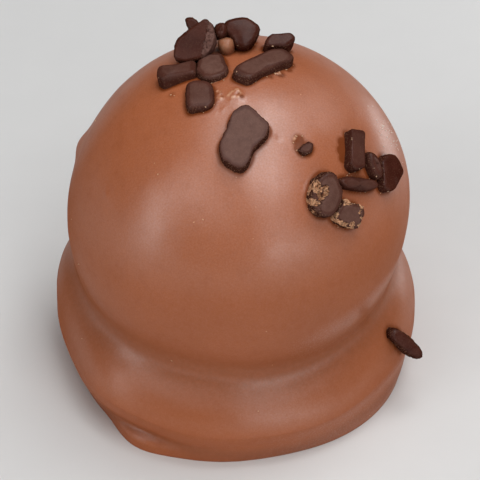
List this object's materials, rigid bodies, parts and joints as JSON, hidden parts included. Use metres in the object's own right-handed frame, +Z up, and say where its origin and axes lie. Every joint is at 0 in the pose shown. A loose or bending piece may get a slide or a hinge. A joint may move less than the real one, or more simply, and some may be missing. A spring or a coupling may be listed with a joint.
{
  "type": "domed chocolate praline",
  "caption": "Domed milk chocolate praline with a fat settled belly and a thin foot, topped with dark chocolate flakes; it stands on its flat base.",
  "frame": {"origin": "middle of the flat base, on the surface it stands on", "axes": "+Z up through the crown, -Y towards the front, +X to the right as seen from the front"},
  "size_m": [0.0279, 0.0277, 0.0293],
  "materials": {
    "milk_chocolate": "satin milk chocolate coating",
    "dark_chocolate": "satin dark chocolate flakes with rough broken edges"
  },
  "bodies": {
    "root": {"praline": "milk_chocolate"}
  },
  "joints": []
}
